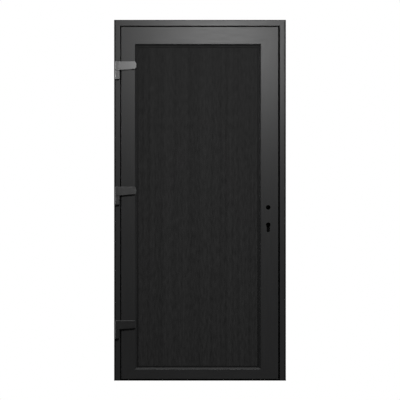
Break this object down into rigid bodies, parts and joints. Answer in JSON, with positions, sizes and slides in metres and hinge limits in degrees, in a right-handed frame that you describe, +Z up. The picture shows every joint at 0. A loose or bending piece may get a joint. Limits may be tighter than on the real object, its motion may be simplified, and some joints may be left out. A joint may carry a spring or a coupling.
{
  "type": "pvc service door",
  "caption": "Outward-opening dark PVC service door in its frame, with a plain recessed infill panel, surface hinges, and a drilled handle and cylinder position.",
  "frame": {"origin": "on the floor, under the middle of the threshold and of the frame's depth", "axes": "+X to the lock side, +Y from outside to inside, +Z up"},
  "size_m": [1, 0.096, 2.1],
  "materials": {
    "frame_foil": "anthracite foil on PVC profile, satin",
    "panel_foil": "anthracite wood-grain embossed sheet, matt",
    "seal_rubber": "black seal rubber",
    "hinge_coating": "anthracite powder coating, semi-gloss",
    "bush_plastic": "black bearing plastic",
    "lock_steel": "zinc-plated steel",
    "threshold_metal": "dark anodised extrusion"
  },
  "bodies": {
    "frame": {"frame_hinge_jamb": "frame_foil", "frame_lock_jamb": "frame_foil", "frame_head": "frame_foil", "frame_seal_hinge": "seal_rubber", "frame_seal_lock": "seal_rubber", "frame_seal_head": "seal_rubber", "threshold": "threshold_metal", "threshold_seal": "seal_rubber", "strike_plate": "lock_steel", "hinge_lower_base": "hinge_coating", "hinge_lower_pin": "lock_steel", "hinge_lower_bush": "bush_plastic", "hinge_middle_base": "hinge_coating", "hinge_middle_pin": "lock_steel", "hinge_middle_bush": "bush_plastic", "hinge_upper_base": "hinge_coating", "hinge_upper_pin": "lock_steel", "hinge_upper_bush": "bush_plastic"},
    "leaf": {"leaf_hinge_stile": "frame_foil", "leaf_lock_stile": "frame_foil", "leaf_top_rail": "frame_foil", "leaf_bottom_rail": "frame_foil", "infill_panel": "panel_foil", "panel_seal_hinge": "seal_rubber", "panel_seal_lock": "seal_rubber", "panel_seal_top": "seal_rubber", "panel_seal_bottom": "seal_rubber", "glazing_bead_hinge": "frame_foil", "glazing_bead_lock": "frame_foil", "glazing_bead_top": "frame_foil", "glazing_bead_bottom": "frame_foil", "hinge_lower_wing": "hinge_coating", "hinge_middle_wing": "hinge_coating", "hinge_upper_wing": "hinge_coating", "lock_case": "lock_steel", "lock_faceplate": "lock_steel", "spindle_follower": "lock_steel", "latch_bolt": "lock_steel", "dead_bolt": "lock_steel"}
  },
  "joints": [
    {"name": "leaf_swing", "type": "hinge", "parent": "frame", "child": "leaf", "pos_m": [-0.479, -0.051, 1.05], "axis": [0, 0, -1], "range_deg": [0, 110]}
  ]
}
